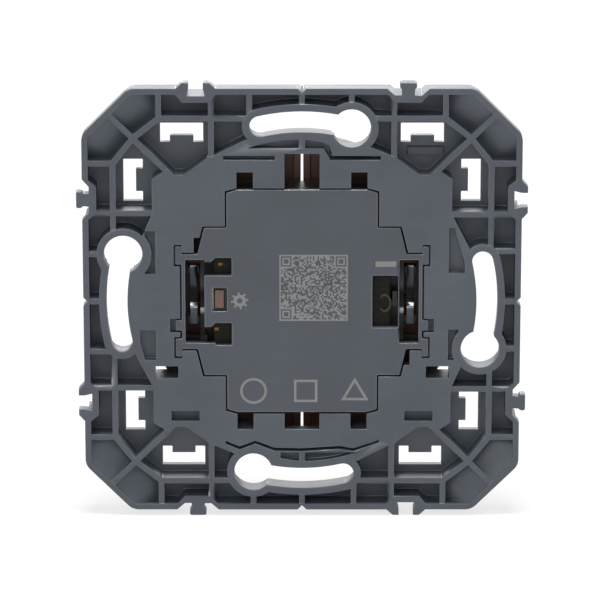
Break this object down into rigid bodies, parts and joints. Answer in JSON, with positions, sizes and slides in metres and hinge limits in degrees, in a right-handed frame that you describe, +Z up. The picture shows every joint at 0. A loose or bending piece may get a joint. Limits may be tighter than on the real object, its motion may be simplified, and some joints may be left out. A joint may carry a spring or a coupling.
{
  "type": "wireless remote wall switch",
  "caption": "Self-powered wireless wall switch: square ribbed mounting frame with keyhole slots, a flush radio module and two half round rocker keys.",
  "frame": {"origin": "centre of the wall plane, where the frame's rear rim lies on the wall", "axes": "+Y from the wall towards the user, +Z up, +X to the right as seen from behind"},
  "size_m": [0.0728, 0.0112, 0.0728],
  "materials": {
    "frame_plastic": "fine matt, blue grey",
    "cover_plastic": "fine matt, blue grey",
    "board": "solder mask over copper",
    "tin": "tinned sheet",
    "capacitor_skin": "glossy sleeve",
    "gold": "gold plated",
    "switch_housing": "satin",
    "button_plastic": "satin",
    "iron": "stamped sheet",
    "bobbin_plastic": "moulded",
    "copper_wire": "enamelled wire",
    "steel": "stamped",
    "magnet_metal": "nickel plated",
    "spring_steel": "rolled strip",
    "carrier_plastic": "moulded brown",
    "key_plastic": "fine satin"
  },
  "bodies": {
    "frame": {"support_frame": "frame_plastic", "rear_cover": "cover_plastic", "module_tray": "cover_plastic", "circuit_board": "board", "radio_chip": "tin", "storage_capacitor": "capacitor_skin", "antenna_strip": "gold", "setup_switch_body": "switch_housing", "iron_core": "iron", "coil_bobbin": "bobbin_plastic", "coil_winding": "copper_wire", "left_return_spring": "spring_steel", "left_pivot_pin": "steel", "right_return_spring": "spring_steel", "right_pivot_pin": "steel"},
    "left_rocker_key": {"left_key_carrier": "carrier_plastic", "left_key": "key_plastic"},
    "left_lever": {"left_drive_lever": "steel", "left_magnet": "magnet_metal", "left_rear_pole": "iron", "left_front_pole": "iron"},
    "right_rocker_key": {"right_key_carrier": "carrier_plastic", "right_key": "key_plastic"},
    "right_lever": {"right_drive_lever": "steel", "right_magnet": "magnet_metal", "right_rear_pole": "iron", "right_front_pole": "iron"},
    "setup_push": {"setup_button": "button_plastic"}
  },
  "joints": [
    {"name": "left_key_tilt", "type": "hinge", "parent": "frame", "child": "left_rocker_key", "pos_m": [0, 0.0074, 0], "axis": [1, 0, 0], "range_deg": [-2.2, 2.2], "stiffness_Nm_per_rad": 0.6},
    {"name": "left_lever_rock", "type": "hinge", "parent": "frame", "child": "left_lever", "pos_m": [0, 0.0031, 0], "axis": [1, 0, 0], "range_deg": [-2.2, 2.2]},
    {"name": "right_key_tilt", "type": "hinge", "parent": "frame", "child": "right_rocker_key", "pos_m": [0, 0.0074, 0], "axis": [1, 0, 0], "range_deg": [-2.2, 2.2], "stiffness_Nm_per_rad": 0.6},
    {"name": "right_lever_rock", "type": "hinge", "parent": "frame", "child": "right_lever", "pos_m": [0, 0.0031, 0], "axis": [1, 0, 0], "range_deg": [-2.2, 2.2]},
    {"name": "setup_press", "type": "slide", "parent": "frame", "child": "setup_push", "axis": [0, 1, 0], "range_m": [0, 0.00025], "stiffness_N_per_m": 1500}
  ],
  "couplings": [
    {"joint": "left_lever_rock", "follows": "left_key_tilt", "ratio": 1},
    {"joint": "right_lever_rock", "follows": "right_key_tilt", "ratio": 1}
  ]
}
